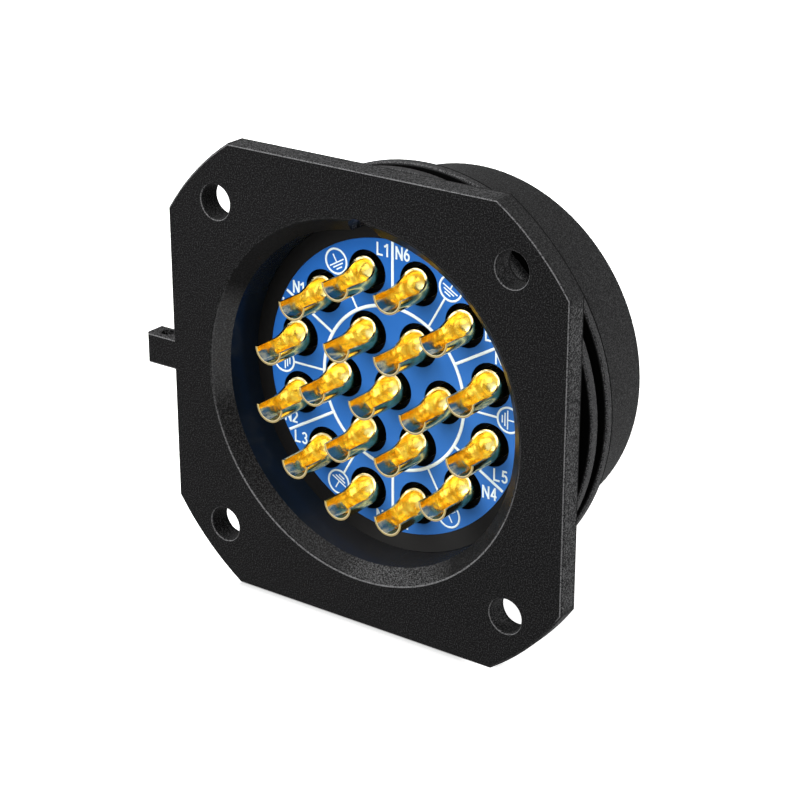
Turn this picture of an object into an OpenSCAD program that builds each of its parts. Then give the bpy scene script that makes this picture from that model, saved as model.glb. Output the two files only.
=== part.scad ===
// Multipin panel connector: a flanged plug shell with soldered contacts and a free-turning coupling ring.
// The axis runs along +Y. The flange's solder side, which lies on the panel, is the plane y = 0.

/* [Flange] */
// Width of the square flange
flange_w = 60; // [57:0.5:66]
// Radius about the axis that trims the flange's corners
flange_corner_r = 36; // [35:0.25:38]
// Thickness of the flange and of its lug
flange_t = 3.2; // [2.4:0.1:4.5]
// Bevel along the edges of the flange and the lug
flange_bevel = 0.25; // [0.1:0.05:0.5]
// Distance between neighbouring fixing holes
hole_spacing = 44.2; // [43:0.1:47]
// Diameter of the fixing holes
hole_d = 4.5; // [3.4:0.1:5]
// Bevel round both mouths of a fixing hole
hole_bevel = 0.2; // [0.1:0.05:0.4]

/* [Lanyard lug] */
// How far the lug stands out of the flange's side
lug_l = 4.6; // [3.6:0.1:7]
// Height of the lug
lug_h = 4.2; // [3:0.1:8]
// Diameter of the upright hole through the lug
lug_hole_d = 1.8; // [1:0.1:2.2]

/* [Contact layout] */
// Circuits: each has a live, a neutral and an earth contact
circuits = 6; // [4:1:7]
// Pitch circle of the live and neutral contacts
outer_pcd = 30.34; // [28:0.02:32]
// Pitch circle of the earth contacts
inner_pcd = 15.42; // [14.4:0.02:16.4]

/* [Contacts] */
// Outside diameter of the solder cup
cup_d = 4.15; // [3.6:0.05:4.6]
// Wall of the solder cup
cup_wall = 0.3; // [0.2:0.05:0.6]
// Depth of the cup's bore down to its round end
cup_bore_l = 6.3; // [5.5:0.1:6.6]
// How far the cup's mouth lies inside the flange's solder side
cup_recess = 0.7; // [0.2:0.1:2]
// Length of the cup that is milled open down to its axis
cup_open_l = 3.6; // [2:0.1:4.2]
// Radius of the cutter that ends the opening
cup_scoop_r = 2.75; // [2.2:0.05:3.2]
// Diameter of the well round each cup in the terminal plate
well_d = 5.7; // [5:0.1:5.9]
// Depth of the wells
well_depth = 1.6; // [1:0.05:1.8]
// Diameter of the collar that the terminal plate traps
collar_d = 6.3; // [6.1:0.1:6.4]
// Thickness of the collar
collar_t = 0.9; // [0.6:0.05:1]
// Diameter of the mating pin
pin_d = 3; // [2:0.1:3.4]
// How far the pins stand out of the insulator
pin_l = 8; // [5:0.1:9]

/* [Insert] */
// Depth of the terminal plate's face below the flange's solder side
face_depth = 7.2; // [6.4:0.1:8]
// Plain rim of the terminal plate outside the wells
plate_rim = 1.43; // [1:0.01:2]
// Step from the terminal plate's face to its lip
lip_w = 1.05; // [0.8:0.05:1.4]
// Thickness of the terminal plate's lip
plate_lip_t = 1.2; // [0.8:0.05:1.6]
// Thickness of the insulator's lip
insulator_lip_t = 1.2; // [1.1:0.05:1.8]
// Length of the insulator in front of its lip
insulator_l = 4.8; // [3.5:0.1:6]
// Thickness of the ring that retains the insert
retainer_t = 1.2; // [0.8:0.05:1.6]
// Width of the key that stops the insert from turning
key_w = 3.6; // [2.4:0.1:5]
// Height of the key on the insert's lips
key_h = 0.7; // [0.4:0.05:1]
// Radius of the half-round locating tab on the retaining ring
tab_r = 2.05; // [1.4:0.05:2.3]

/* [Shell] */
// Lead-in chamfer at the mouth of the rear cavity
cavity_lead = 1.8; // [0.8:0.1:2.6]
// Broken edge between that chamfer and the flange's face
mouth_break = 0.2; // [0.1:0.05:0.4]
// Ledge in the cavity that the retaining ring seats on
seat_w = 1.3; // [0.9:0.05:1.6]
// Ledge in the shell that the insulator's lip seats on
shoulder_w = 2; // [1.2:0.05:2.6]
// Wall of the neck round the rear cavity
neck_wall = 4.05; // [3:0.05:4.6]
// Length of the neck in front of the flange
neck_l = 6.1; // [5.4:0.1:7.4]
// Fillet at the foot of the neck on the flange
neck_fillet = 0.8; // [0.3:0.1:1.2]
// Wall of the spigot that the coupling ring turns on
spigot_wall = 1.85; // [1.4:0.05:2.4]
// Length of the spigot
spigot_l = 4.3; // [4:0.1:6]
// Wall of the plug barrel
barrel_wall = 1.75; // [1.2:0.05:2.2]
// Lead-in bevel round the front edge of the plug barrel
barrel_bevel = 0.6; // [0.2:0.05:0.8]
// Width of the polarising groove along the barrel
groove_w = 4; // [2:0.1:6]
// Depth of the polarising groove
groove_depth = 0.9; // [0.4:0.05:1]

/* [Coupling ring] */
// Length of the coupling ring
ring_l = 17.3; // [16.5:0.1:24]
// Wall of the ring's barrel
ring_wall = 1.92; // [1.6:0.02:2.6]
// Height of the grip ribs above the barrel
rib_h = 3.25; // [1.5:0.05:3.6]
// Thickness of each grip rib
rib_t = 1.45; // [1:0.05:2.4]
// Gap between the grip ribs
rib_gap = 2.05; // [1.5:0.05:3.5]
// Bevel on the edges of the ribs
rib_bevel = 0.2; // [0.1:0.05:0.4]
// Bevel at the front edge of the ring
ring_bevel = 0.6; // [0.2:0.05:1]
// How far the barrel lies inside the front of the ring
barrel_recess = 1.5; // [0.5:0.1:4]

/* [Retaining wire and gasket] */
// Diameter of the spring wire that keeps the ring on the shell
wire_d = 1.2; // [0.8:0.05:1.4]
// Distance from the neck to the middle of the wire
wire_offset = 2.5; // [1.8:0.1:3]
// Angle of the split in the wire
wire_split = 12; // [4:1:40]
// Thickness of the face gasket at the foot of the barrel
gasket_t = 1.4; // [0.8:0.1:2.4]
// Distance from the gasket's rim to the rim of the spigot
gasket_inset = 0.4; // [0.2:0.05:0.8]

/* [Fits] */
// Running clearance of the coupling ring on its spigot, in radius
running_fit = 0.08; // [0.04:0.01:0.1]
// Clearance of the insert's pieces in the shell and of the contacts in their seats
insert_fit = 0.05; // [0.03:0.01:0.08]
// End play of the coupling ring in front of the neck
ring_play = 0.3; // [0.2:0.05:0.5]
// Clearance round the retaining wire in its grooves
wire_fit = 0.1; // [0.05:0.01:0.15]

/* [Hidden] */
$fn = 96;
// Overrun of a cutting tool past the face that it opens
over = 1;

// Radii of the insert, from the contact layout outwards
plate_r = (outer_pcd + well_d) / 2 + plate_rim;
lip_r = plate_r + lip_w;
lip_bore_r = lip_r + insert_fit;
insulator_bore_r = lip_bore_r - shoulder_w;
insulator_r = insulator_bore_r - insert_fit;

// Radii of the shell and of the ring that turns on it
cavity_r = lip_bore_r + seat_w;
mouth_r = cavity_r + cavity_lead;
neck_r = cavity_r + neck_wall;
spigot_r = lip_bore_r + spigot_wall;
barrel_r = insulator_bore_r + barrel_wall;
ring_bore_r = spigot_r + running_fit;
ring_r = ring_bore_r + ring_wall;
rib_r = ring_r + rib_h;

// Places along the axis, from the solder side forwards
seat_y = face_depth + retainer_t;
lip_y = seat_y + plate_lip_t;
shoulder_y = lip_y + insulator_lip_t;
insulator_y = shoulder_y + insulator_l;
pin_tip_y = insulator_y + pin_l;
neck_y = flange_t + neck_l;
ring_y = neck_y + ring_play;
spigot_y = neck_y + spigot_l;
gasket_y = spigot_y + gasket_t;
ring_front_y = ring_y + ring_l;
barrel_y = ring_front_y - barrel_recess;
wire_y = neck_y + wire_offset;

// The wire lies half in the shell's groove and half in the ring's
wire_r = (spigot_r + ring_bore_r) / 2;
wire_groove_w = wire_d + 2 * wire_fit;
wire_groove_in = wire_r - wire_d / 2 - wire_fit;
wire_groove_out = wire_r + wire_d / 2 + wire_fit;

// Solder cup
cup_r = cup_d / 2;
cup_bore_r = cup_r - cup_wall;
cup_open_y = cup_recess + cup_open_l;

// Names and places of the contacts: live and neutral in turn round the rim, earths inside, one spare
outer_step = 360 / (2 * circuits);
inner_step = 360 / circuits;
first_angle = 90 + outer_step / 2;
OUTER = [for (i = [0 : 2 * circuits - 1])
    [str("contact_", i % 2 == 0 ? "l" : "n", floor(i / 2) + 1), outer_pcd / 2, first_angle + i * outer_step]];
INNER = [for (i = [0 : circuits - 1])
    [str("contact_e", i + 1), inner_pcd / 2, 90 + (i + 0.5) * inner_step]];
CONTACTS = concat(OUTER, INNER, [["contact_spare", 0, 0]]);

black = "#202022";
blue = "#2f73c8";
gold = "#d8a62a";

// A solid of revolution about the Y axis, from points [radius, y]
module turned(points) {
    rotate([-90, 0, 0]) rotate_extrude() polygon(points);
}

// A round bar along Y
module rod(r, from, to) {
    translate([0, from, 0]) rotate([-90, 0, 0]) cylinder(r = r, h = to - from);
}

// A cone along Y
module taper(r_from, r_to, from, to) {
    translate([0, from, 0]) rotate([-90, 0, 0]) cylinder(r1 = r_from, r2 = r_to, h = to - from);
}

// A flat bar along Z, as thick as the flange, with its four long edges bevelled
module bevelled_bar(width, length) {
    half = width / 2;
    b = flange_bevel;
    edge = [[half - b, 0], [half, b], [half, flange_t - b], [half - b, flange_t]];
    far_edge = [for (i = [3 : -1 : 0]) [-edge[i][0], edge[i][1]]];
    linear_extrude(length, center = true) polygon(concat(edge, far_edge));
}

// Children at every contact's place
module at_contacts() {
    for (c = CONTACTS) translate([c[1] * cos(c[2]), 0, c[1] * sin(c[2])]) children();
}

// A key or its slot at the top of the insert
module top_key(r, width, from, to) {
    translate([-width / 2, from, 0]) cube([width, to - from, r]);
}

// The retaining ring's half-round tab, or its slot along the top of the cavity
module top_tab(r, from, to) {
    translate([0, 0, cavity_r]) rod(r, from, to);
}

module flange() {
    b = flange_bevel;
    r = flange_corner_r;
    intersection() {
        turned([[0, 0], [r - b, 0], [r, b], [r, flange_t - b], [r - b, flange_t], [0, flange_t]]);
        bevelled_bar(flange_w, 2 * flange_corner_r);
        rotate([0, 90, 0]) bevelled_bar(flange_w, 2 * flange_corner_r);
    }
}

module lug() {
    reach = flange_w / 2 + lug_l;
    root = flange_w / 2 - lug_l / 2;
    intersection() {
        bevelled_bar(2 * reach, 2 * lug_h);
        rotate([0, 90, 0]) bevelled_bar(lug_h, 3 * reach);
        translate([-2 * reach, -over, -lug_h]) cube([2 * reach - root, flange_t + 2 * over, 2 * lug_h]);
    }
}

module fixing_hole() {
    b = hole_bevel + over;
    r = hole_d / 2;
    rod(r, -over, flange_t + over);
    taper(r + b, r, -over, hole_bevel);
    taper(r, r + b, flange_t - hole_bevel, flange_t + over);
}

// The neck, with a hollow fillet where it stands on the flange
module neck() {
    foot_r = neck_r + neck_fillet;
    rod(neck_r, flange_t / 2, neck_y);
    difference() {
        rod(foot_r, flange_t / 2, flange_t + neck_fillet);
        translate([0, flange_t + neck_fillet, 0]) rotate([-90, 0, 0])
            rotate_extrude() translate([foot_r, 0]) circle(r = neck_fillet);
    }
}

module plug_barrel() {
    foot_y = spigot_y - over;
    turned([
        [0, foot_y], [barrel_r, foot_y], [barrel_r, barrel_y - barrel_bevel],
        [barrel_r - barrel_bevel, barrel_y], [0, barrel_y]]);
}

// Everything that is hollow round the axis of the shell
module shell_hollow() {
    chamfer_angle = 45;
    slack = mouth_break * cos(chamfer_angle);
    turned([
        [0, -over], [mouth_r + mouth_break + over / tan(chamfer_angle / 2), -over],
        [mouth_r - slack, slack], [cavity_r, cavity_lead], [cavity_r, seat_y],
        [lip_bore_r, seat_y], [lip_bore_r, shoulder_y], [insulator_bore_r, shoulder_y],
        [insulator_bore_r, barrel_y + over], [0, barrel_y + over]]);
    top_tab(tab_r + insert_fit, -over, seat_y);
    top_key(lip_r + key_h + insert_fit, key_w + 2 * insert_fit, seat_y, shoulder_y);
}

module shell() {
    color(black) difference() {
        union() {
            flange();
            lug();
            neck();
            rod(spigot_r, neck_y - over, spigot_y);
            plug_barrel();
        }
        shell_hollow();
        for (x = [-1, 1], z = [-1, 1])
            translate([x * hole_spacing / 2, 0, z * hole_spacing / 2]) fixing_hole();
        translate([-(flange_w + lug_l) / 2, flange_t / 2, -lug_h])
            cylinder(d = lug_hole_d, h = 2 * lug_h);
        difference() {
            rod(spigot_r + over, wire_y - wire_groove_w / 2, wire_y + wire_groove_w / 2);
            rod(wire_groove_in, wire_y - wire_groove_w, wire_y + wire_groove_w);
        }
        translate([-groove_w / 2, gasket_y, barrel_r - groove_depth])
            cube([groove_w, barrel_y - gasket_y + over, groove_depth + over]);
    }
}

module insert_retainer() {
    color(black) difference() {
        union() {
            rod(cavity_r - insert_fit, face_depth, seat_y);
            top_tab(tab_r, face_depth, seat_y);
        }
        rod(plate_r + insert_fit, face_depth - over, seat_y + over);
    }
}

module terminal_plate() {
    color(blue) difference() {
        union() {
            rod(plate_r, face_depth, lip_y);
            rod(lip_r, seat_y, lip_y);
            top_key(lip_r + key_h, key_w, seat_y, lip_y);
        }
        at_contacts() {
            rod(well_d / 2, face_depth - over, face_depth + well_depth);
            rod(cup_r + insert_fit, face_depth, lip_y + over);
        }
    }
}

module contact_insulator() {
    color(black) difference() {
        union() {
            rod(lip_r, lip_y, shoulder_y);
            rod(insulator_r, shoulder_y, insulator_y);
            top_key(lip_r + key_h, key_w, lip_y, shoulder_y);
        }
        at_contacts() {
            rod(collar_d / 2 + insert_fit, lip_y - over, lip_y + collar_t + insert_fit);
            rod(pin_d / 2 + insert_fit, lip_y, insulator_y + over);
        }
    }
}

// The milled opening of a solder cup: half open at the mouth, then up and out along the cutter's radius
module cup_opening() {
    translate([-cup_r - over, 0, 0]) {
        translate([0, cup_recess - over, 0])
            cube([2 * (cup_r + over), cup_open_l + over, cup_scoop_r]);
        translate([0, cup_recess - over, cup_scoop_r])
            cube([2 * (cup_r + over), cup_open_l + over + cup_scoop_r, cup_r]);
        translate([0, cup_open_y, cup_scoop_r]) rotate([0, 90, 0])
            cylinder(r = cup_scoop_r, h = 2 * (cup_r + over));
    }
}

module contact() {
    pin_r = pin_d / 2;
    bore_y = cup_recess + cup_bore_l;
    color(gold) difference() {
        union() {
            rod(cup_r, cup_recess, lip_y + collar_t / 2);
            rod(collar_d / 2, lip_y, lip_y + collar_t);
            rod(pin_r, lip_y + collar_t / 2, pin_tip_y - pin_r);
            translate([0, pin_tip_y - pin_r, 0]) sphere(r = pin_r);
        }
        rod(cup_bore_r, cup_recess - over, bore_y);
        translate([0, bore_y, 0]) sphere(r = cup_bore_r);
        cup_opening();
    }
}

module face_gasket() {
    color("#2b2b2b") difference() {
        rod(spigot_r - gasket_inset, spigot_y, gasket_y);
        rod(barrel_r + insert_fit, spigot_y - over, gasket_y + over);
    }
}

module retaining_wire() {
    color("silver") translate([0, wire_y, 0]) rotate([-90, 0, 0])
        rotate_extrude(angle = 360 - wire_split) translate([wire_r, 0]) circle(d = wire_d);
}

// One grip rib of the ring's outline, from its foot at y to its foot beyond
function rib(y) = [
    [ring_r, y], [rib_r - rib_bevel, y], [rib_r, y + rib_bevel],
    [rib_r, y + rib_t - rib_bevel], [rib_r - rib_bevel, y + rib_t], [ring_r, y + rib_t]];

module coupling_ring() {
    outside = concat(rib(ring_y), rib(ring_y + rib_t + rib_gap), [
        [ring_r, ring_front_y - ring_bevel], [ring_r - ring_bevel, ring_front_y]]);
    inside = [
        [ring_bore_r + ring_bevel, ring_front_y], [ring_bore_r, ring_front_y - ring_bevel],
        [ring_bore_r, wire_y + wire_groove_w / 2], [wire_groove_out, wire_y + wire_groove_w / 2],
        [wire_groove_out, wire_y - wire_groove_w / 2], [ring_bore_r, wire_y - wire_groove_w / 2],
        [ring_bore_r, ring_y]];
    color(black) turned(concat(outside, inside));
}

shell();
insert_retainer();
terminal_plate();
contact_insulator();
for (c = CONTACTS)
    translate([c[1] * cos(c[2]), 0, c[1] * sin(c[2])]) contact();
face_gasket();
retaining_wire();
coupling_ring();
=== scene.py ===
"""Looks of the multipin panel connector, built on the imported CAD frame.

The axis runs along +Y and the solder side faces -Y. All lengths are in metres.
"""

import math

import bmesh
import bpy
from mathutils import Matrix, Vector


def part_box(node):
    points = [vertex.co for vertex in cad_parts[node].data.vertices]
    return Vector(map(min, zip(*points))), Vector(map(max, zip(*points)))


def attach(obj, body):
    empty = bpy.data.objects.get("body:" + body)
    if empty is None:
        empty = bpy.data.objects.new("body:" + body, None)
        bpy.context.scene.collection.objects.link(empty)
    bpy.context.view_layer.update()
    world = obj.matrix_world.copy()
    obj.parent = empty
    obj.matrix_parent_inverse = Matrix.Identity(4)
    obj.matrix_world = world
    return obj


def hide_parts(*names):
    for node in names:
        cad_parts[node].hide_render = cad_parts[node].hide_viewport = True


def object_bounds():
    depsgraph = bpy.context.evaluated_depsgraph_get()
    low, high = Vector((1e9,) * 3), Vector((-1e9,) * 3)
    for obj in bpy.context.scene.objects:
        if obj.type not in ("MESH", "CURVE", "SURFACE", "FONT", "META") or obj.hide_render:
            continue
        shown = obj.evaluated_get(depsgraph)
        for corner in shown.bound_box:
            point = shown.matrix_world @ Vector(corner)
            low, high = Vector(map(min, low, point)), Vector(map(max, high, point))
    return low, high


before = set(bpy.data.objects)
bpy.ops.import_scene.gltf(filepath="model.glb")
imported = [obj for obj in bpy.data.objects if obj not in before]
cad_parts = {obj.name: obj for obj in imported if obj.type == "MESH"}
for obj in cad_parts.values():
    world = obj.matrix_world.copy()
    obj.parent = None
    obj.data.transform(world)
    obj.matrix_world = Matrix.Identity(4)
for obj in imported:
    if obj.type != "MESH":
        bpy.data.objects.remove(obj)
cad_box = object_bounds()


# Shell: flange, lug, neck and plug barrel in one moulding of black glass-filled nylon, held to the
# panel by four screws. The outside has a spark-eroded grain, painted shade on its faces across the axis,
# edges painted light grey as wear and painted highlight, and a painted shade line round the back. The
# bore behind the lead-in chamfer is smooth, because the insert slides along it.
MM = 0.001


def put(tree, kind, sockets=None, **settings):
    """Add a node to a tree, and fill its sockets with values or with other nodes' outputs."""
    node = tree.nodes.new(kind)
    for name, value in settings.items():
        setattr(node, name, value)
    for name, value in (sockets or {}).items():
        if isinstance(value, bpy.types.NodeSocket):
            tree.links.new(value, node.inputs[name])
        else:
            node.inputs[name].default_value = value
    return node


def math_node(tree, operation, first, second=0.0):
    """Output of one Math node."""
    return put(tree, "ShaderNodeMath", {0: first, 1: second}, operation=operation).outputs[0]


def times(tree, value, factor):
    """Product of two values, or the share where two masks both hold."""
    return math_node(tree, "MULTIPLY", value, factor)


def plus(tree, value, more):
    return math_node(tree, "ADD", value, more)


def minus(tree, value, less):
    return math_node(tree, "SUBTRACT", value, less)


def ratio(tree, value, whole):
    return math_node(tree, "DIVIDE", value, whole)


def unsigned(tree, value):
    return math_node(tree, "ABSOLUTE", value)


def either(tree, first, second):
    """Share where one mask or the other holds."""
    return math_node(tree, "MAXIMUM", first, second)


def under(tree, value, limit):
    """1 where a value is less than a limit, otherwise 0."""
    return math_node(tree, "LESS_THAN", value, limit)


def over(tree, value, limit):
    """1 where a value is more than a limit, otherwise 0."""
    return math_node(tree, "GREATER_THAN", value, limit)


def blend_colours(tree, share, low, high):
    """Colour that runs from low to high as share goes from 0 to 1."""
    node = put(tree, "ShaderNodeMix", data_type="RGBA")
    for index, value in ((0, share), (6, low), (7, high)):
        if isinstance(value, bpy.types.NodeSocket):
            tree.links.new(value, node.inputs[index])
        else:
            node.inputs[index].default_value = value if index == 0 else (*value, 1.0)
    return node.outputs[2]


def blend_values(tree, share, low, high):
    """Number that runs from low to high as share goes from 0 to 1, and no further."""
    sockets = {"Value": share, "To Min": low, "To Max": high}
    return put(tree, "ShaderNodeMapRange", sockets, clamp=True).outputs["Result"]


def rise(tree, value, low, high):
    """0 where a value is at low and 1 where it is at high, smooth between and level beyond."""
    sockets = {"Value": value, "From Min": low, "From Max": high}
    node = put(tree, "ShaderNodeMapRange", sockets, clamp=True, interpolation_type="SMOOTHSTEP")
    return node.outputs["Result"]


def band(tree, value, low, high, soft):
    """1 where a value lies between low and high, with edges 2 * soft wide."""
    up = rise(tree, value, low - soft, low + soft)
    down = rise(tree, value, high + soft, high - soft)
    return times(tree, up, down)


def length(tree, across, upward):
    """Length of the line with the two given legs."""
    squares = [times(tree, leg, leg) for leg in (across, upward)]
    return math_node(tree, "SQRT", plus(tree, *squares))


def split(tree, vector):
    """The X, Y and Z parts of a vector."""
    return put(tree, "ShaderNodeSeparateXYZ", {"Vector": vector}).outputs


def round_axis(tree, place):
    """Parts of a place and its distance from the Y axis, as (spot, radius)."""
    spot = split(tree, place)
    return spot, length(tree, spot["X"], spot["Z"])


def round_about(tree, spot, radius, middle, half_width):
    """1 at an angle round the axis, and 0 from half_width degrees to either side of it."""
    nearly_there = 0.997
    angle = math.radians(middle)
    across = times(tree, spot["X"], math.cos(angle))
    upward = times(tree, spot["Z"], math.sin(angle))
    nearness = ratio(tree, plus(tree, across, upward), radius)
    return rise(tree, nearness, math.cos(math.radians(half_width)), nearly_there)


def object_place(tree):
    return put(tree, "ShaderNodeTexCoord").outputs["Object"]


def turned_forward(tree):
    """1 on faces that look to the mating front, -1 on the solder side's, 0 on faces along the axis."""
    normal = put(tree, "ShaderNodeTexCoord").outputs["Normal"]
    return split(tree, normal)["Y"]


def noise(tree, place, size, detail=2.0, roughness=0.5):
    """Noise whose blots are about size metres across."""
    sockets = {"Vector": place, "Scale": 1.0 / size, "Detail": detail, "Roughness": roughness}
    return put(tree, "ShaderNodeTexNoise", sockets).outputs["Fac"]


def new_finish(name):
    """A material with one Principled shader, as (material, tree, shader)."""
    material = bpy.data.materials.new(name)
    material.use_nodes = True
    tree = material.node_tree
    tree.nodes.clear()
    shader = put(tree, "ShaderNodeBsdfPrincipled")
    put(tree, "ShaderNodeOutputMaterial", {"Surface": shader.outputs["BSDF"]})
    return material, tree, shader


def coat(tree, shader, colour, roughness, height=None, relief=0.0, strength=1.0):
    """Give a shader its colour and roughness and, where a height is given, bumps as deep as relief."""
    tree.links.new(colour, shader.inputs["Base Color"])
    tree.links.new(roughness, shader.inputs["Roughness"])
    if height is not None:
        bump = put(tree, "ShaderNodeBump", {"Height": height, "Distance": relief, "Strength": strength})
        tree.links.new(bump.outputs["Normal"], shader.inputs["Normal"])


def dress(node_name, material):
    """Give a CAD node its finish."""
    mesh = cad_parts[node_name].data
    mesh.materials.clear()
    mesh.materials.append(material)


# A grained tone is a pair of colours: between the grains and on top of them.
FACE_SHADE_BLACK = ((0.0018, 0.0018, 0.0019), (0.0320, 0.0320, 0.0328))
SIDE_LIT_GREY = ((0.0050, 0.0050, 0.0052), (0.0880, 0.0880, 0.0897))
CORNER_GREY = ((0.0090, 0.0090, 0.0092), (0.0410, 0.0410, 0.0418))
FACE_SPECKLE = (0.46, 0.72)
SIDE_SPECKLE = (0.43, 0.65)
GRAIN = 0.17 * MM
GRAIN_HARSHNESS = 0.7
CORNER_R = 36.0 * MM
AT_CORNER = (CORNER_R - 0.5 * MM, CORNER_R - 0.2 * MM)
shell_nylon, tree, shader = new_finish("shell_nylon")
place = object_place(tree)
spot, radius = round_axis(tree, place)
depth = spot["Y"]
height = ratio(tree, spot["Z"], radius)
facing = unsigned(tree, turned_forward(tree))
grain = noise(tree, place, GRAIN, roughness=GRAIN_HARSHNESS)
side_speckle = rise(tree, grain, *SIDE_SPECKLE)
face_shade_black = blend_colours(tree, rise(tree, grain, *FACE_SPECKLE), *FACE_SHADE_BLACK)
side_lit_grey = blend_colours(tree, side_speckle, *SIDE_LIT_GREY)
corner_grey = blend_colours(tree, side_speckle, *CORNER_GREY)
side_lit_grey = blend_colours(tree, rise(tree, radius, *AT_CORNER), side_lit_grey, corner_grey)

# Painted shade: faces across the axis are painted darker than the sides, which are painted lighter as if lit,
# and the walls of the fixing holes are painted almost as dark as the faces.
FLAT = (0.8, 0.95)
HOLE_PLACE = 22.1 * MM
HOLE_NEAR = 2.35 * MM
HOLE_SHADE = 0.75
hole_x = minus(tree, unsigned(tree, spot["X"]), HOLE_PLACE)
hole_z = minus(tree, unsigned(tree, spot["Z"]), HOLE_PLACE)
from_hole = length(tree, hole_x, hole_z)
hole_shade = times(tree, under(tree, from_hole, HOLE_NEAR), HOLE_SHADE)
outside = blend_colours(tree, either(tree, rise(tree, facing, *FLAT), hole_shade), side_lit_grey, face_shade_black)

# The edges of the solder side are painted light grey, partly as wear and partly as a painted highlight: the
# highlight is left off the low corners and the upper rims of the holes, where the light doesn't catch them.
EDGE_WEAR_AND_HIGHLIGHT = (0.16, 0.16, 0.163)
BEVELLED = (0.6, 0.8)
BEVEL_SOFT = 0.04
EDGE_LINE = 0.12 * MM
AT_SOLDER_SIDE = (EDGE_LINE, 0.7 * EDGE_LINE)
MOUTH_R = 23.65 * MM
OFF_MOUTH = (MOUTH_R + 0.3 * MM, MOUTH_R + 0.4 * MM)
LOW_CORNER_Z = -20.5 * MM
ABOVE_LOW_CORNERS = (LOW_CORNER_Z - 0.5 * MM, LOW_CORNER_Z + 0.5 * MM)
RIM_NEAR = 1.4 * HOLE_NEAR
RIM_SLANT = 0.5
UPPER_RIM = (-0.6 * MM, 1.4 * MM)
HOLE_RIM_HIGHLIGHT = (0.7, 0.05)
bevels = times(tree, band(tree, facing, *BEVELLED, BEVEL_SOFT), rise(tree, radius, *OFF_MOUTH))
rear_bevels = times(tree, bevels, rise(tree, depth, *AT_SOLDER_SIDE))
rim_x = times(tree, hole_x, math_node(tree, "SIGN", spot["X"]))
rim_z = times(tree, hole_z, math_node(tree, "SIGN", spot["Z"]))
upper_rim = rise(tree, plus(tree, rim_z, times(tree, rim_x, RIM_SLANT)), *UPPER_RIM)
hole_rim_highlight = blend_values(tree, upper_rim, *HOLE_RIM_HIGHLIGHT)
flange_highlight = rise(tree, spot["Z"], *ABOVE_LOW_CORNERS)
edge_highlight = blend_values(tree, under(tree, from_hole, RIM_NEAR), flange_highlight, hole_rim_highlight)
highlit_bevels = times(tree, rear_bevels, edge_highlight)

# Painted highlight: the edge of the mouth is painted lighter, most of all low down, where the light catches
# it.
MOUTH_BREAK = 0.2 * MM
MOUTH_SOFT = 0.04 * MM
MOUTH_EDGE = (0.4 * MM, 0.25 * MM)
LOW_ON_MOUTH = (2 * MM, -16 * MM)
MOUTH_HIGHLIGHT = 0.8
HIGHLIGHT_PATCHES = (0.30, 0.55)
on_break = band(tree, radius, MOUTH_R, MOUTH_R + MOUTH_BREAK, MOUTH_SOFT)
mouth_line = times(tree, on_break, rise(tree, depth, *MOUTH_EDGE))
lit_mouth_edge = times(tree, mouth_line, rise(tree, spot["Z"], *LOW_ON_MOUTH))
edges = either(tree, highlit_bevels, times(tree, lit_mouth_edge, MOUTH_HIGHLIGHT))
edges = times(tree, edges, rise(tree, grain, *HIGHLIGHT_PATCHES))
outside = blend_colours(tree, edges, outside, EDGE_WEAR_AND_HIGHLIGHT)

# Painted shade: a dark line is painted round the flange at its back bevel.
BACK_EDGE_SHADE = (0.0020, 0.0020, 0.0021)
FLANGE_T = 3.2 * MM
BACK_BEVEL = 0.25 * MM
SHADE_LINE_W = 0.2 * MM
SHADE_LINE_SOFT = 0.03 * MM
NOT_FLAT = (0.85, 0.75)
back_edge = band(tree, depth, FLANGE_T - BACK_BEVEL - SHADE_LINE_W, FLANGE_T, SHADE_LINE_SOFT)
shade_line = times(tree, back_edge, rise(tree, facing, *NOT_FLAT))
outside = blend_colours(tree, shade_line, outside, BACK_EDGE_SHADE)

# The lead-in chamfer has painted highlights on its left and below, and painted shade elsewhere. A side is an
# angle from +X towards +Z, and the half width round it, in degrees.
LEAD_SHADE = ((0.0010, 0.0010, 0.0010), (0.0060, 0.0060, 0.0061))
LEAD_LEFT_HIGHLIGHT = ((0.0240, 0.0240, 0.0245), (0.0540, 0.0540, 0.0551))
LEAD_LOW_HIGHLIGHT = ((0.0060, 0.0060, 0.0061), (0.0910, 0.0910, 0.0928))
LEAD_DEPTH = 1.8 * MM
LEFT_HIGHLIGHT_SIDE = (172, 24)
LOW_HIGHLIGHT_SIDE = (284, 27)
LOW_HIGHLIGHT_HEIGHT = (0.7, -0.1)
LOW_HIGHLIGHT_ELSEWHERE = 0.22
lead_tones = (LEAD_SHADE, LEAD_LEFT_HIGHLIGHT, LEAD_LOW_HIGHLIGHT)
shade, left_highlight, low_highlight = [blend_colours(tree, side_speckle, *pair) for pair in lead_tones]
left_highlight_side = round_about(tree, spot, radius, *LEFT_HIGHLIGHT_SIDE)
low_highlight_elsewhere = times(tree, rise(tree, height, *LOW_HIGHLIGHT_HEIGHT), LOW_HIGHLIGHT_ELSEWHERE)
low_highlight_side = either(tree, round_about(tree, spot, radius, *LOW_HIGHLIGHT_SIDE), low_highlight_elsewhere)
lead = blend_colours(tree, left_highlight_side, blend_colours(tree, low_highlight_side, shade, low_highlight), left_highlight)
in_lead = times(tree, under(tree, radius, MOUTH_R), under(tree, depth, LEAD_DEPTH))
outside = blend_colours(tree, in_lead, outside, lead)

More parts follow.
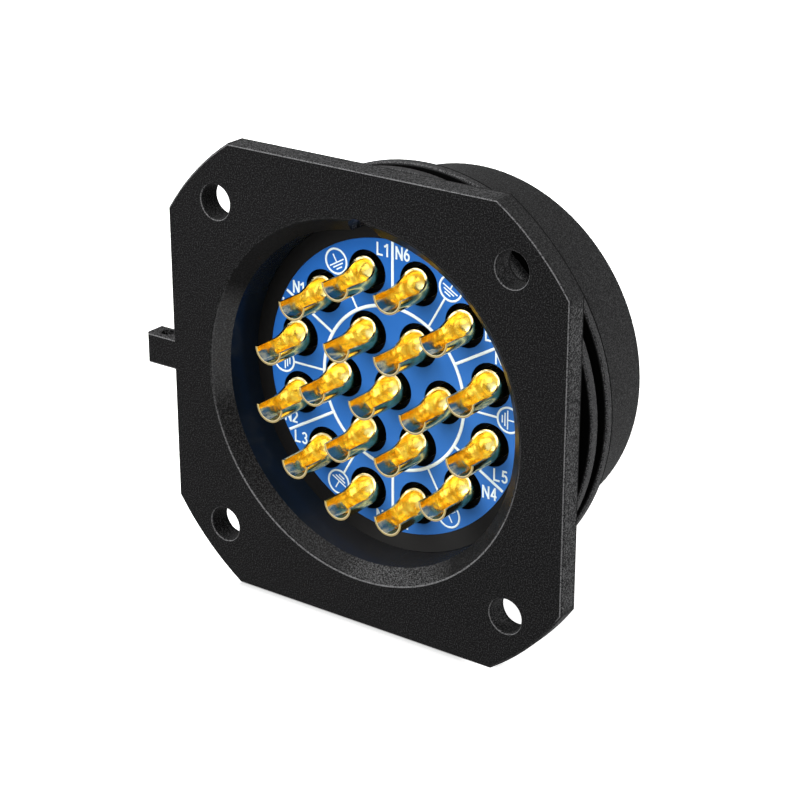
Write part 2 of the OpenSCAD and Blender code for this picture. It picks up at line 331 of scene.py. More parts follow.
# The cavity's wall is painted with a bluish reflection of the plate, and a lighter grey along its bottom, a
# painted highlight where light falls. Inside the plug the bore is plain black.
BORE_BLUE_REFLECTION = (0.0085, 0.0138, 0.0235)
BORE_LIT_GREY = (0.0195, 0.0200, 0.0220)
PLUG_BLACK = (0.0200, 0.0202, 0.0206)
BORE_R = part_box("insert_retainer")[1][0] + 0.1 * MM
BORE_BOTTOM = (-0.8, -0.98)
CAVITY_END = 9.0 * MM
in_bore = times(tree, under(tree, radius, BORE_R), over(tree, depth, LEAD_DEPTH))
cavity = blend_colours(tree, rise(tree, height, *BORE_BOTTOM), BORE_BLUE_REFLECTION, BORE_LIT_GREY)
inside = blend_colours(tree, over(tree, depth, CAVITY_END), cavity, PLUG_BLACK)
colour = blend_colours(tree, in_bore, outside, inside)

NYLON_GLOSS = 0.06
NYLON_ROUGH = (0.75, 0.55)
LEAD_ROUGH = 0.32
BORE_ROUGH = 0.18
GRAIN_RELIEF = 0.03 * MM
GRAIN_STRENGTH = 0.6
BORE_STRENGTH = 0.05
in_mouth = under(tree, radius, MOUTH_R + MOUTH_BREAK)
smooth = blend_values(tree, in_bore, LEAD_ROUGH, BORE_ROUGH)
roughness = blend_values(tree, in_mouth, blend_values(tree, grain, *NYLON_ROUGH), smooth)
strength = blend_values(tree, in_bore, GRAIN_STRENGTH, BORE_STRENGTH)
coat(tree, shader, colour, roughness, grain, GRAIN_RELIEF, strength)
shader.inputs["Specular IOR Level"].default_value = NYLON_GLOSS
dress("shell", shell_nylon)


# Retaining ring: a plain black moulded ring, pushed into the bore behind the insert.
# Its tab in the shell's keyway shows at the top of the opening, and its low side is painted grey, a painted
# highlight.
RETAINER_BLACK = (0.0050, 0.0049, 0.0049)
LIT_LOW_GREY = (0.0220, 0.0216, 0.0216)
LIT_LOW_ARC = (281, 35)
SMOOTH_GLOSS = 0.08


def smooth_black(name, colour, roughness, ripple, lit_low_colour=None):
    """Smooth black plastic with a faint moulded ripple, and an arc low down painted as a highlight if that
    has a colour.
    """
    ripple_size = 0.6 * MM
    ripple_strength = 0.3
    paleness = 1.7
    spread = 0.06
    pale = tuple(paleness * part for part in colour)
    material, tree, shader = new_finish(name)
    place = object_place(tree)
    wave = noise(tree, place, ripple_size, detail=3.0)
    black = blend_colours(tree, wave, colour, pale)
    if lit_low_colour:
        lit_low = round_about(tree, *round_axis(tree, place), *LIT_LOW_ARC)
        black = blend_colours(tree, lit_low, black, lit_low_colour)
    dullness = blend_values(tree, wave, roughness - spread, roughness + spread)
    coat(tree, shader, black, dullness, wave, ripple, ripple_strength)
    shader.inputs["Specular IOR Level"].default_value = SMOOTH_GLOSS
    return material


retainer_black = smooth_black(
    "retainer_black", RETAINER_BLACK, roughness=0.4, ripple=0.01 * MM, lit_low_colour=LIT_LOW_GREY)
dress("insert_retainer", retainer_black)


# Terminal plate: a moulded disc with a well round every solder cup, trapped by the
# retaining ring. Its face is blue, painted paler towards the lower right as painted light, and the wells
# are painted black below the face as painted shade.
BLUE = (0.0155, 0.111, 0.405)
PALE_BLUE = (0.034, 0.150, 0.470)
WELL_SHADE_BLACK = (0.0012, 0.0015, 0.0018)
WELL_SHADE_DEPTH = 0.12 * MM
CLOUD = 3.0 * MM
CLOUD_SHARE = (-0.15, 0.15)
PEEL = 0.35 * MM
PEEL_RELIEF = 0.012 * MM
PEEL_STRENGTH = 0.25
PLATE_ROUGH = (0.34, 0.46)
plate_low, plate_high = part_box("terminal_plate")
face_y = plate_low[1]
plate_span = plate_high[0] - plate_low[0]
plate_blue, tree, shader = new_finish("plate_blue")
place = object_place(tree)
spot = split(tree, place)
# Painted light: the blue runs paler towards the lower right.
painted_light_drift = plus(tree, ratio(tree, minus(tree, spot["X"], spot["Z"]), plate_span), 0.5)
cloud = noise(tree, place, CLOUD, detail=3.0)
share = plus(tree, painted_light_drift, blend_values(tree, cloud, *CLOUD_SHARE))
# Painted shade: below the face, the wells are painted black.
sunk = over(tree, spot["Y"], face_y + WELL_SHADE_DEPTH)
colour = blend_colours(tree, sunk, blend_colours(tree, share, BLUE, PALE_BLUE), WELL_SHADE_BLACK)
peel = noise(tree, place, PEEL)
coat(tree, shader, colour, blend_values(tree, peel, *PLATE_ROUGH), peel, PEEL_RELIEF, PEEL_STRENGTH)
shader.inputs["Specular IOR Level"].default_value = SMOOTH_GLOSS
dress("terminal_plate", plate_blue)


# White markings printed on the plate: one circle round the earth contacts, a line
# between neighbouring circuits, and an earth sign with its own line in each circuit.
def new_geometry_tree(name, inputs):
    """A geometry tree with inputs of the given names, as (tree, input sockets)."""
    tree = bpy.data.node_groups.new(name, "GeometryNodeTree")
    tree.interface.new_socket("Geometry", in_out="OUTPUT", socket_type="NodeSocketGeometry")
    for label in inputs:
        kind = {"Material": "NodeSocketMaterial", "Pattern": "NodeSocketObject"}.get(label, "NodeSocketFloat")
        tree.interface.new_socket(label, in_out="INPUT", socket_type=kind)
    return tree, put(tree, "NodeGroupInput").outputs


def close_tree(tree, geometry, material):
    """End a geometry tree in Realize Instances and Set Material."""
    solid = put(tree, "GeometryNodeRealizeInstances", {"Geometry": geometry}).outputs[0]
    painted = put(tree, "GeometryNodeSetMaterial", {"Geometry": solid, "Material": material}).outputs[0]
    put(tree, "NodeGroupOutput", {"Geometry": painted})


def grow(name, tree, values):
    """Run a geometry tree with its named inputs set, and keep its result as a plain mesh piece."""
    piece = bpy.data.objects.new(name, bpy.data.meshes.new(name))
    bpy.context.collection.objects.link(piece)
    modifier = piece.modifiers.new("growth", "NODES")
    modifier.node_group = tree
    for item in tree.interface.items_tree:
        if item.in_out == "INPUT":
            modifier[item.identifier] = values[item.name]
    graph = bpy.context.evaluated_depsgraph_get()
    mesh = bpy.data.meshes.new_from_object(piece.evaluated_get(graph))
    piece.modifiers.remove(modifier)
    piece.data = mesh
    mesh.name = name
    return piece


def offset(tree, x=0.0, y=0.0, z=0.0):
    """A vector output from three values or sockets."""
    return put(tree, "ShaderNodeCombineXYZ", {"X": x, "Y": y, "Z": z}).outputs[0]


def straight(tree, start, end):
    return put(tree, "GeometryNodeCurvePrimitiveLine", {"Start": start, "End": end}).outputs["Curve"]


def circle(tree, radius, points):
    sockets = {"Radius": radius, "Resolution": points}
    return put(tree, "GeometryNodeCurvePrimitiveCircle", sockets).outputs["Curve"]


def stroke(tree, curve, width, thickness):
    """A printed line of the given width along a curve in the XY plane."""
    flat = put(tree, "GeometryNodeSetCurveNormal", {"Curve": curve}, mode="Z_UP").outputs["Curve"]
    section = put(tree, "GeometryNodeCurvePrimitiveQuadrilateral", {"Width": width, "Height": thickness})
    sockets = {"Curve": flat, "Profile Curve": section.outputs["Curve"], "Fill Caps": True}
    return put(tree, "GeometryNodeCurveToMesh", sockets).outputs["Mesh"]


def spoke(tree, start, end):
    """A line along X between two distances, one ink step above the lines that it meets."""
    return straight(tree, offset(tree, start, z=INK_STEP), offset(tree, end, z=INK_STEP))


def join(tree, *parts):
    node = put(tree, "GeometryNodeJoinGeometry")
    for part in parts:
        tree.links.new(part, node.inputs["Geometry"])
    return node.outputs["Geometry"]


def round_the_axis(tree, geometry, count, start):
    """Copies of a geometry at equal angles round Z, the first one turned by start."""
    spots = put(tree, "GeometryNodePoints", {"Count": count}).outputs["Points"]
    index = put(tree, "GeometryNodeInputIndex").outputs["Index"]
    angle = plus(tree, times(tree, index, 2 * math.pi / count), start)
    sockets = {"Points": spots, "Instance": geometry, "Rotation": offset(tree, z=angle)}
    return put(tree, "GeometryNodeInstanceOnPoints", sockets).outputs["Instances"]


def onto_face(tree, geometry, face):
    """Turn what is drawn in XY to face -Y, at the depth face."""
    sockets = {"Geometry": geometry, "Rotation": (math.pi / 2, 0.0, 0.0), "Translation": offset(tree, y=face)}
    return put(tree, "GeometryNodeTransform", sockets).outputs["Geometry"]


THIN_INK = (0.79, 0.90, 0.93)
FULL_INK = (0.85, 0.96, 0.98)
INK_PATCH = 0.25 * MM
INK_ROUGH = (0.4, 0.6)
print_white, tree, shader = new_finish("print_white")
patchy = noise(tree, object_place(tree), INK_PATCH, detail=3.0)
ink = blend_colours(tree, patchy, THIN_INK, FULL_INK)
coat(tree, shader, ink, blend_values(tree, patchy, *INK_ROUGH))

CIRCUITS = 6
PRINT_T = 0.06 * MM
INK_STEP = 0.003 * MM
RING_LINE_R = 10.82 * MM
RING_LINE_POINTS = 144
EARTH_PLACE_R = 17.4 * MM
EARTH_R = 1.62 * MM
line_tree, given = new_geometry_tree("sector_lines", [
    "Ring radius", "Ring width", "Divider end", "Divider width", "Earth line end", "Earth line width",
    "Thickness", "Face", "Material"])
ring_r = given["Ring radius"]
ring = stroke(line_tree, circle(line_tree, ring_r, RING_LINE_POINTS), given["Ring width"], given["Thickness"])
divider = spoke(line_tree, ring_r, given["Divider end"])
divider = stroke(line_tree, divider, given["Divider width"], given["Thickness"])
earth_line = spoke(line_tree, ring_r, given["Earth line end"])
earth_line = stroke(line_tree, earth_line, given["Earth line width"], given["Thickness"])
half_sector = math.pi / CIRCUITS
drawn = join(line_tree, ring, round_the_axis(line_tree, divider, CIRCUITS, half_sector),
             round_the_axis(line_tree, earth_line, CIRCUITS, 0.0))
close_tree(line_tree, onto_face(line_tree, drawn, given["Face"]), given["Material"])
sector_lines = grow("sector_lines", line_tree, {
    "Ring radius": RING_LINE_R, "Ring width": 0.44 * MM, "Divider end": 19.3 * MM, "Divider width": 0.38 * MM,
    "Earth line end": EARTH_PLACE_R - EARTH_R, "Earth line width": 0.28 * MM, "Thickness": PRINT_T,
    "Face": face_y, "Material": print_white})
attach(sector_lines, "panel_body")

# The sign's stem and bars are given in shares of its radius: how far out from the connector's axis and,
# for a bar, how far to either side.
SIGN_POINTS = 48
STEM_ENDS = (0.62, -0.1)
BARS = ((-0.1, 0.76), (-0.34, 0.53), (-0.58, 0.3))
sign_tree, given = new_geometry_tree("earth_signs", [
    "Place radius", "Sign radius", "Rim width", "Bar width", "Thickness", "Face", "Material"])
sign_r = given["Sign radius"]
rim = stroke(sign_tree, circle(sign_tree, sign_r, SIGN_POINTS), given["Rim width"], given["Thickness"])
lines = [spoke(sign_tree, *[times(sign_tree, sign_r, end) for end in STEM_ENDS])]
for outward, half_length in BARS:
    x = times(sign_tree, sign_r, outward)
    ends = [offset(sign_tree, x, times(sign_tree, sign_r, side * half_length)) for side in (-1, 1)]
    lines.append(straight(sign_tree, *ends))
inner_strokes = stroke(sign_tree, join(sign_tree, *lines), given["Bar width"], given["Thickness"])
sign = put(sign_tree, "GeometryNodeTransform", {
    "Geometry": join(sign_tree, rim, inner_strokes),
    "Translation": offset(sign_tree, given["Place radius"])}).outputs["Geometry"]
signs = round_the_axis(sign_tree, sign, CIRCUITS, 0.0)
close_tree(sign_tree, onto_face(sign_tree, signs, given["Face"]), given["Material"])
earth_signs = grow("earth_signs", sign_tree, {
    "Place radius": EARTH_PLACE_R, "Sign radius": EARTH_R, "Rim width": 0.27 * MM, "Bar width": 0.17 * MM,
    "Thickness": PRINT_T, "Face": face_y, "Material": print_white})
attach(earth_signs, "panel_body")


# Circuit codes: L1 to L6 and N1 to N6, printed upright in plain condensed letters on either
# side of the dividing lines, next to the contacts that they name. Each letter is drawn by its
# centre lines, as for an engraver, and the print is a stroke of one width along them.
CODE_H = 1.44 * MM
CODE_STROKE = 0.26 * MM
CODE_R = 18.0 * MM
CODE_GAP = 1.54 * MM
LETTER_GAP = 0.41 * MM


def bow(x, y, across, upward, start, end):
    """Points along an ellipse round (x, y), from the angle start to the angle end in degrees."""
    steps = 14
    angles = [math.radians(start + (end - start) * i / steps) for i in range(steps + 1)]
    return [(x + across * math.cos(a), y + upward * math.sin(a)) for a in angles]


LETTERS = {
    "L": [[(0.0, 1.09), (0.0, -0.09)], [(0.0, 0.0), (0.55, 0.0)]],
    "N": [[(0.0, -0.09), (0.0, 1.09)], [(0.01, 1.01), (0.57, -0.01)], [(0.58, -0.09), (0.58, 1.09)]],
    "1": [[(0.2, -0.09), (0.2, 1.09)], [(0.2, 1.0), (-0.1, 0.76)]],
    "2": [bow(0.23, 0.73, 0.23, 0.27, 165, -35) + [(0.02, 0.04)], [(-0.08, 0.0), (0.5, 0.0)]],
    "3": [bow(0.2, 0.76, 0.22, 0.24, 160, -90), bow(0.2, 0.26, 0.25, 0.26, 90, -160)],
    "4": [[(0.36, 1.09), (0.36, -0.09)], [(0.34, 1.0), (0.0, 0.27)], [(-0.08, 0.26), (0.52, 0.26)]],
    "5": [[(0.46, 1.0), (0.0, 1.0)], [(0.08, 1.0), (0.04, 0.5)], bow(0.21, 0.32, 0.24, 0.32, 140, -155)],
    "6": [bow(0.225, 0.3, 0.225, 0.3, 0, 360), bow(0.5, 0.3, 0.5, 0.74, 180, 112)],
}


def add_word(lines, word, centre):
    """Draw one word's centre lines into a curve, with its middle at centre."""
    span = {letter: max(x for part in LETTERS[letter] for x, y in part) * CODE_H for letter in word}
    pen = centre.x - (sum(span.values()) + LETTER_GAP * (len(word) - 1)) / 2
    for letter in word:
        for layer, part in enumerate(LETTERS[letter]):
            spline = lines.splines.new("POLY")
            spline.points.add(len(part) - 1)
            for point, (x, y) in zip(spline.points, part):
                point.co = (pen + x * CODE_H, centre.y + (y - 0.5) * CODE_H, layer * INK_STEP, 1.0)
        pen += span[letter] + LETTER_GAP


code_lines = bpy.data.curves.new("code_lines", "CURVE")
for circuit in range(CIRCUITS):
    line_angle = math.pi / 2 + 2 * math.pi * circuit / CIRCUITS
    outward = Vector((math.cos(line_angle), math.sin(line_angle)))
    sideways = Vector((-outward.y, outward.x))
    neutral = (circuit - 1) % CIRCUITS + 1
    add_word(code_lines, f"L{circuit + 1}", outward * CODE_R + sideways * CODE_GAP)
    add_word(code_lines, f"N{neutral}", outward * CODE_R - sideways * CODE_GAP)
code_pattern = bpy.data.objects.new("code_pattern", code_lines)
bpy.context.collection.objects.link(code_pattern)
code_tree, given = new_geometry_tree("circuit_codes", [
    "Pattern", "Stroke width", "Thickness", "Face", "Material"])
written = put(code_tree, "GeometryNodeObjectInfo", {"Object": given["Pattern"]}).outputs["Geometry"]
inked = stroke(code_tree, written, given["Stroke width"], given["Thickness"])
close_tree(code_tree, onto_face(code_tree, inked, given["Face"]), given["Material"])
circuit_codes = grow("circuit_codes", code_tree, {
    "Pattern": code_pattern, "Stroke width": CODE_STROKE, "Thickness": PRINT_T, "Face": face_y,
    "Material": print_white})
bpy.data.objects.remove(code_pattern)
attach(circuit_codes, "panel_body")


# Contact insulator: a black thermoset disc on the mating side, drilled for the pins.
# It carries the contacts and seats on the shell's inner ledge.
INSULATOR_BLACK = (0.020, 0.020, 0.022)
insulator_black = smooth_black("insulator_black", INSULATOR_BLACK, roughness=0.5, ripple=0.015 * MM)
dress("contact_insulator", insulator_black)


# Contacts: nineteen turned brass pins with a drilled and half milled-open solder cup,
# deburred and gold plated. Live and neutral stand round the rim, earths inside, one spare.
DEEP_GOLD = (0.78, 0.55, 0.14)
BRIGHT_GOLD = (0.98, 0.86, 0.32)
RIM_HIGHLIGHT_GOLD = (0.62, 0.55, 0.38)
MOUTH_RIM_GOLD = (0.40, 0.33, 0.19)
MOUTH_REFLECTION_GOLD = (0.70, 0.58, 0.36)
CUP_BORE_R = 1.775 * MM
CUP_R = 2.075 * MM
IN_CUP = (CUP_BORE_R + 0.15 * MM, CUP_BORE_R + 0.05 * MM)
CUP_RIM = (CUP_BORE_R + 0.12 * MM, CUP_R - 0.03 * MM)
RIM_SOFT = 0.02 * MM
PAST_MOUTH = (1.2 * MM, 4.0 * MM)
SCOOP_FLOOR = (-0.3 * MM, -1.1 * MM)
CUP_END = (5.4 * MM, 7.0 * MM)
SWIRL = 1.0 * MM
SWIRL_DETAIL = 0.6
SWIRL_RELIEF = 0.16 * MM
SWIRL_PATCHES = (0.34, 0.62)
PATCHES_AT_MOUTH = 0.3
HAMMERED = (0.04, 0.7)
FINE_SCRATCH = 0.3 * MM
SCRATCH_ROUGH = 0.06
GOLD_ROUGH = (0.12, 0.18)
END_ROUGH = 0.03
TONE_SHIFT = 0.05
contact_gold, tree, shader = new_finish("contact_gold")
place = put(tree, "ShaderNodeAttribute", attribute_name="cup_place").outputs["Vector"]
tone = put(tree, "ShaderNodeAttribute", attribute_name="contact_tone").outputs["Fac"]
shift = offset(tree, times(tree, tone, TONE_SHIFT))
own_place = put(tree, "ShaderNodeVectorMath", {0: place, 1: shift}, operation="ADD").outputs[0]
swirl = noise(tree, own_place, SWIRL, detail=SWIRL_DETAIL)
scratches = noise(tree, own_place, FINE_SCRATCH, detail=3.0)
spot, radius = round_axis(tree, place)
past_mouth = rise(tree, spot["Y"], *PAST_MOUTH)
in_cup = rise(tree, radius, *IN_CUP)
contrast = blend_values(tree, past_mouth, PATCHES_AT_MOUTH, 1.0)
patches = times(tree, rise(tree, swirl, *SWIRL_PATCHES), contrast)
gilt = blend_colours(tree, patches, DEEP_GOLD, BRIGHT_GOLD)
# Painted reflection: the floor of the scoop near the mouth is painted a greyish gold.
in_mouth = times(tree, in_cup, rise(tree, past_mouth, 0.5, 0.0))
mouth_reflection = times(tree, in_mouth, rise(tree, spot["Z"], *SCOOP_FLOOR))
gilt = blend_colours(tree, mouth_reflection, gilt, MOUTH_REFLECTION_GOLD)
# Painted highlight: the cut rims are painted a pale cream gold, and darker at the mouth.
rim_highlight_gilt = blend_colours(tree, past_mouth, MOUTH_RIM_GOLD, RIM_HIGHLIGHT_GOLD)
colour = blend_colours(tree, band(tree, radius, *CUP_RIM, RIM_SOFT), gilt, rim_highlight_gilt)
at_end = times(tree, in_cup, rise(tree, spot["Y"], *CUP_END))
polish = plus(tree, blend_values(tree, past_mouth, *GOLD_ROUGH), times(tree, at_end, END_ROUGH))
roughness = plus(tree, polish, times(tree, scratches, SCRATCH_ROUGH))
strength = blend_values(tree, times(tree, in_cup, past_mouth), *HAMMERED)
coat(tree, shader, colour, roughness, swirl, SWIRL_RELIEF, strength)
shader.inputs["Metallic"].default_value = 1.0

DEBURR = 0.09 * MM
SAME_SPOT = 1e-6
SAME_FACE = math.radians(0.4)
SHARP_EDGE = math.radians(30)
BURRED_EDGE = math.radians(40)
pattern = bpy.data.objects.new("contact_pattern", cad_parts["contact_spare"].data.copy())
bpy.context.collection.objects.link(pattern)
pattern.data.materials.clear()
shape = bmesh.new()
shape.from_mesh(pattern.data)
bmesh.ops.remove_doubles(shape, verts=shape.verts, dist=SAME_SPOT)
bmesh.ops.dissolve_limit(shape, angle_limit=SAME_FACE, verts=shape.verts, edges=shape.edges)
shape.to_mesh(pattern.data)
shape.free()
pattern.data.set_sharp_from_angle(angle=SHARP_EDGE)
soften = pattern.modifiers.new("deburred", "BEVEL")
soften.width = DEBURR
soften.segments = 3
soften.limit_method = "ANGLE"
soften.angle_limit = BURRED_EDGE


def ring_of_points(tree, radius, count, start):
    """Points on a circle round the Y axis, from the angle start on."""
    corners = put(tree, "GeometryNodeMeshCircle", {"Vertices": count, "Radius": radius}).outputs["Mesh"]
    sockets = {"Geometry": corners, "Rotation": (math.pi / 2, -start, 0.0)}
    return put(tree, "GeometryNodeTransform", sockets).outputs["Geometry"]


def place_radius(node_name):
    """Distance of a contact's axis from the connector's axis."""
    low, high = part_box(node_name)
    return math.hypot((low[0] + high[0]) / 2, (low[2] + high[2]) / 2)


contact_tree, given = new_geometry_tree("solder_contacts", [
    "Outer radius", "Inner radius", "Pattern", "Material"])
outer_start = half_sector / 2
outer_spots = ring_of_points(contact_tree, given["Outer radius"], 2 * CIRCUITS, outer_start)
inner_spots = ring_of_points(contact_tree, given["Inner radius"], CIRCUITS, 0.0)
middle = put(contact_tree, "GeometryNodeMeshLine", {"Count": 1}).outputs["Mesh"]
spots = join(contact_tree, outer_spots, inner_spots, middle)
one = put(contact_tree, "GeometryNodeObjectInfo", {"Object": given["Pattern"]}).outputs["Geometry"]
position = put(contact_tree, "GeometryNodeInputPosition").outputs["Position"]
placed = put(contact_tree, "GeometryNodeStoreNamedAttribute", {
    "Geometry": one, "Name": "cup_place", "Value": position}, data_type="FLOAT_VECTOR", domain="POINT")
stood = put(contact_tree, "GeometryNodeInstanceOnPoints", {
    "Points": spots, "Instance": placed.outputs["Geometry"]}).outputs["Instances"]
chance = put(contact_tree, "FunctionNodeRandomValue", {"Seed": 7}, data_type="FLOAT").outputs[1]
toned = put(contact_tree, "GeometryNodeStoreNamedAttribute", {
    "Geometry": stood, "Name": "contact_tone", "Value": chance}, data_type="FLOAT", domain="INSTANCE")
close_tree(contact_tree, toned.outputs["Geometry"], given["Material"])
solder_contacts = grow("solder_contacts", contact_tree, {
    "Outer radius": place_radius("contact_l1"), "Inner radius": place_radius("contact_e1"),
    "Pattern": pattern, "Material": contact_gold})
bpy.data.objects.remove(pattern)
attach(solder_contacts, "panel_body")
plain_contacts = [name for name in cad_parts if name.startswith("contact_")]
plain_contacts.remove("contact_insulator")
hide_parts(*plain_contacts)


# Face gasket: a flat ring of black rubber, punched from sheet and pushed over the plug
# barrel down to its foot. It seals against the rim of the mating socket.
RUBBER_BLACK = (0.012, 0.012, 0.012)
gasket_rubber = smooth_black("gasket_rubber", RUBBER_BLACK, roughness=0.8, ripple=0.02 * MM)
dress("face_gasket", gasket_rubber)


# Retaining wire: a split ring of drawn spring steel, bent to a circle.
# It lies half in the shell's groove and half in the coupling ring's, and keeps the ring on.
DULL_STEEL = (0.42, 0.42, 0.43)
BRIGHT_STEEL = (0.6, 0.6, 0.61)
DRAWN_LINE = 0.2 * MM
STEEL_ROUGH = (0.25, 0.45)
spring_wire, tree, shader = new_finish("spring_wire")
drawn_line = noise(tree, object_place(tree), DRAWN_LINE, detail=3.0)
steel = blend_colours(tree, drawn_line, DULL_STEEL, BRIGHT_STEEL)
coat(tree, shader, steel, blend_values(tree, drawn_line, *STEEL_ROUGH))
shader.inputs["Metallic"].default_value = 1.0
dress("retaining_wire", spring_wire)


# Coupling ring: black nylon, moulded with two grip ribs, grained as the shell's sides are.
# It turns freely on the shell, held by the retaining wire, and a painted shade line runs along its front rib.
RING_GREY = ((0.0080, 0.0080, 0.0082), (0.0440, 0.0440, 0.0449))
RIB_GREY = ((0.0220, 0.0220, 0.0224), (0.0740, 0.0740, 0.0755))
GROOVE_SHADE_BLACK = (0.0006, 0.0006, 0.0006)
RING_R = 24.4 * MM
RIB_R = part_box("coupling_ring")[1][0]
ON_RIBS = (RING_R + 1.0 * MM, RING_R + 2.0 * MM)
BELOW_CRESTS = (RIB_R - 0.2 * MM, RIB_R - 0.5 * MM)
RIBS_END = 14.55 * MM
RIBS_REACH = RIBS_END + 0.01 * MM
RIB_SHADE_LINE = (RIBS_END - 0.44 * MM, RIBS_END - 0.38 * MM)
NOT_FORWARD = (0.9, 0.75)
RING_SPECKLE = (0.40, 0.70)
RING_PATCHES = (0.4, 0.65)
RING_RELIEF = 0.035 * MM
RING_ROUGH = (0.72, 0.55)
GROOVE_ROUGH = 0.95
ring_nylon, tree, shader = new_finish("ring_nylon")
place = object_place(tree)
spot, radius = round_axis(tree, place)
depth = spot["Y"]
forward = turned_forward(tree)
grain = noise(tree, place, GRAIN, roughness=GRAIN_HARSHNESS)
speckle = rise(tree, grain, *RING_SPECKLE)
barrel_grey = blend_colours(tree, speckle, *RING_GREY)
rib_grey = blend_colours(tree, speckle, *RIB_GREY)
outside = blend_colours(tree, rise(tree, radius, *ON_RIBS), barrel_grey, rib_grey)
# The bevelled edges are painted light grey, partly as wear and partly as a painted highlight.
bevels = band(tree, unsigned(tree, forward), *BEVELLED, BEVEL_SOFT)
edges = times(tree, bevels, rise(tree, grain, *RING_PATCHES))
outside = blend_colours(tree, edges, outside, EDGE_WEAR_AND_HIGHLIGHT)
# Painted shade: below the crests, and in a line along the front rib, the ring is painted near black.
seen_from_behind = times(tree, under(tree, depth, RIBS_REACH), rise(tree, forward, *NOT_FORWARD))
in_groove = rise(tree, radius, *BELOW_CRESTS)
shade_line = rise(tree, depth, *RIB_SHADE_LINE)
shaded = times(tree, seen_from_behind, either(tree, in_groove, shade_line))
colour = blend_colours(tree, shaded, outside, GROOVE_SHADE_BLACK)
roughness = blend_values(tree, shaded, blend_values(tree, grain, *RING_ROUGH), GROOVE_ROUGH)
coat(tree, shader, colour, roughness, grain, RING_RELIEF, GRAIN_STRENGTH)
shader.inputs["Specular IOR Level"].default_value = NYLON_GLOSS
dress("coupling_ring", ring_nylon)


# Coupling thread: the screw ridge moulded inside the ring, in the same nylon.
# It draws the mating socket home and turns with the ring.
thread_tree, given = new_geometry_tree("coupling_thread", [
    "Bore radius", "Depth", "Root width", "Crest width", "Start", "Length", "Turns", "Material"])
spiral = put(thread_tree, "GeometryNodeCurveSpiral", {
    "Resolution": 96, "Rotations": given["Turns"], "Start Radius": given["Bore radius"],
    "End Radius": given["Bore radius"], "Height": given["Length"]}).outputs["Curve"]
upright = put(thread_tree, "GeometryNodeSetCurveNormal", {"Curve": spiral}, mode="Z_UP").outputs["Curve"]
ridge = put(thread_tree, "GeometryNodeCurvePrimitiveQuadrilateral", {
    "Bottom Width": given["Root width"], "Top Width": given["Crest width"], "Height": given["Depth"],
    "Offset": 0.0}, mode="TRAPEZOID").outputs["Curve"]
swept = put(thread_tree, "GeometryNodeCurveToMesh", {
    "Curve": upright, "Profile Curve": ridge, "Fill Caps": True}).outputs["Mesh"]
turned = put(thread_tree, "GeometryNodeTransform", {
    "Geometry": swept, "Rotation": (-math.pi / 2, 0.0, 0.0),
    "Translation": offset(thread_tree, y=given["Start"])}).outputs["Geometry"]
close_tree(thread_tree, turned, given["Material"])
coupling_thread = grow("coupling_thread", thread_tree, {
    "Bore radius": 22.2 * MM, "Depth": 0.75 * MM, "Root width": 1.1 * MM, "Crest width": 0.4 * MM,
    "Start": 15.8 * MM, "Length": 9.4 * MM, "Turns": 6.2, "Material": ring_nylon})
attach(coupling_thread, "coupling_ring")


# Studio: white paper that keeps a faint shadow under the flange, and white surroundings. Three soft
# lamps light what is matt, and a card shows in what is bright. The camera stands where the photographer
# stood, off the solder side and a little above.
AMBIENT = 0.22
WHITE = (1.0, 1.0, 1.0, 1.0)


def seen_in_gloss(tree):
    """1 for the rays by which metal and gloss see their surroundings, otherwise 0."""
    ray = put(tree, "ShaderNodeLightPath").outputs
    return either(tree, ray["Is Glossy Ray"], ray["Is Transmission Ray"])


def seen_by_camera(tree):
    return put(tree, "ShaderNodeLightPath").outputs["Is Camera Ray"]


world = bpy.data.worlds.new("studio")
world.use_nodes = True
bpy.context.scene.world = world
tree = world.node_tree
tree.nodes.clear()
seen = either(tree, seen_by_camera(tree), seen_in_gloss(tree))
sky = put(tree, "ShaderNodeBackground", {"Color": WHITE, "Strength": blend_values(tree, seen, AMBIENT, 1.0)})
put(tree, "ShaderNodeOutputWorld", {"Surface": sky.outputs["Background"]})

FLOOR_SIZE = 6.0
half = FLOOR_SIZE / 2
floor_z = cad_box[0][2]
corners = [(-half, -half, floor_z), (half, -half, floor_z), (half, half, floor_z), (-half, half, floor_z)]
floor_data = bpy.data.meshes.new("floor")
floor_data.from_pydata(corners, [], [(0, 1, 2, 3)])
floor = bpy.data.objects.new("floor", floor_data)
bpy.context.collection.objects.link(floor)

# The contact shadow lies between the flange's low corners, and fades out towards the lit one.
PAPER_GREY = (0.45, 0.45, 0.45)
PAPER_WHITE = (0.95, 0.95, 0.95)
CONTACT_GREY = (0.05, 0.05, 0.05)
BLACK = (0.0, 0.0, 0.0)
CONTACT_REACH = 3.0 * MM
OPEN_FLOOR = (0.35, 1.0)
SHADOW_RIGHT = (14.0 * MM, 19.0 * MM)
SHADOW_LEFT = (-19.3 * MM, -20.3 * MM)
SHADOW_FLOOR = 0.62
AWAY_FROM_OBJECT = (0.1, 0.4)
floor_white = bpy.data.materials.new("floor_white")
floor_white.use_nodes = True
tree = floor_white.node_tree
tree.nodes.clear()
spot = split(tree, object_place(tree))
openness = put(tree, "ShaderNodeAmbientOcclusion", {"Distance": CONTACT_REACH}, samples=16).outputs["AO"]
past_ends = either(tree, rise(tree, spot["X"], *SHADOW_RIGHT), rise(tree, spot["X"], *SHADOW_LEFT))
lightness = either(tree, rise(tree, openness, *OPEN_FLOOR), past_ends)
lit_paper = blend_colours(tree, seen_by_camera(tree), PAPER_GREY, PAPER_WHITE)
lit_paper = blend_colours(tree, lightness, CONTACT_GREY, lit_paper)
paper_colour = blend_colours(tree, seen_in_gloss(tree), lit_paper, BLACK)
away = rise(tree, length(tree, spot["X"], spot["Y"]), *AWAY_FROM_OBJECT)
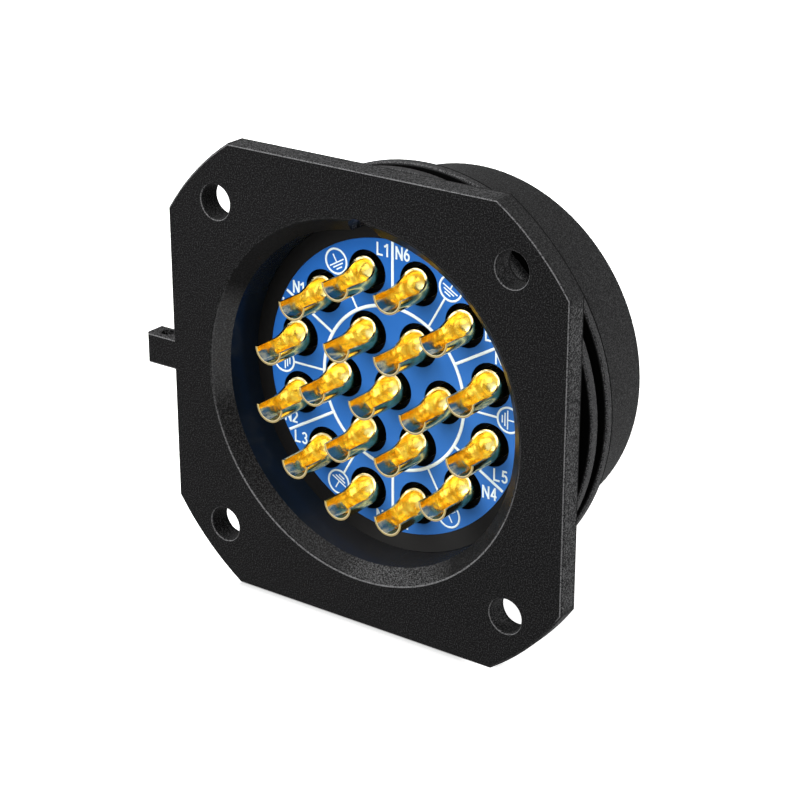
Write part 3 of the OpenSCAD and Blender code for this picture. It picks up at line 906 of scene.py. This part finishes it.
glow_level = blend_values(tree, away, SHADOW_FLOOR, 1.0)
strength = plus(tree, times(tree, seen_by_camera(tree), glow_level), seen_in_gloss(tree))
paper = put(tree, "ShaderNodeBsdfDiffuse", {"Color": paper_colour})
glow = put(tree, "ShaderNodeEmission", {"Color": WHITE, "Strength": strength})
both = put(tree, "ShaderNodeAddShader", {0: paper.outputs[0], 1: glow.outputs[0]})
put(tree, "ShaderNodeOutputMaterial", {"Surface": both.outputs[0]})
floor_data.materials.append(floor_white)


def soft_lamp(name, place, size, power, lit="diffuse"):
    """A square area lamp that points at the connector, for matt surfaces or for what mirrors it."""
    lamp = bpy.data.lights.new(name, "AREA")
    lamp.size = size
    lamp.energy = power
    stand = bpy.data.objects.new(name, lamp)
    stand.location = place
    stand.rotation_euler = (-Vector(place)).to_track_quat("-Z", "Y").to_euler()
    stand.visible_glossy = lit == "gloss"
    stand.visible_diffuse = lit == "diffuse"
    bpy.context.collection.objects.link(stand)


soft_lamp("key", (-0.06, -0.27, 0.15), size=0.3, power=1.75)
soft_lamp("card", (-0.15, -0.25, 0.35), size=0.5, power=2.3, lit="gloss")
soft_lamp("side", (0.36, 0.27, 0.06), size=0.16, power=2.3)
soft_lamp("back", (-0.2, 0.48, 0.06), size=0.18, power=4.0)

AZIMUTH = math.radians(36.144)
ELEVATION = math.radians(22.222)
DISTANCE = 270.9 * MM
AIM = Vector((6.377, 0.0, 2.383)) * MM
toward = Vector((math.sin(AZIMUTH) * math.cos(ELEVATION), -math.cos(AZIMUTH) * math.cos(ELEVATION),
                 math.sin(ELEVATION)))
camera_data = bpy.data.cameras.new("camera")
camera_data.lens = 101.03
camera_data.sensor_width = 36.0
camera_data.clip_start = 0.01
camera = bpy.data.objects.new("camera", camera_data)
camera.location = AIM + DISTANCE * toward
camera.rotation_euler = (-toward).to_track_quat("-Z", "Y").to_euler()
bpy.context.collection.objects.link(camera)
bpy.context.scene.camera = camera
bpy.context.scene.view_settings.view_transform = "Standard"
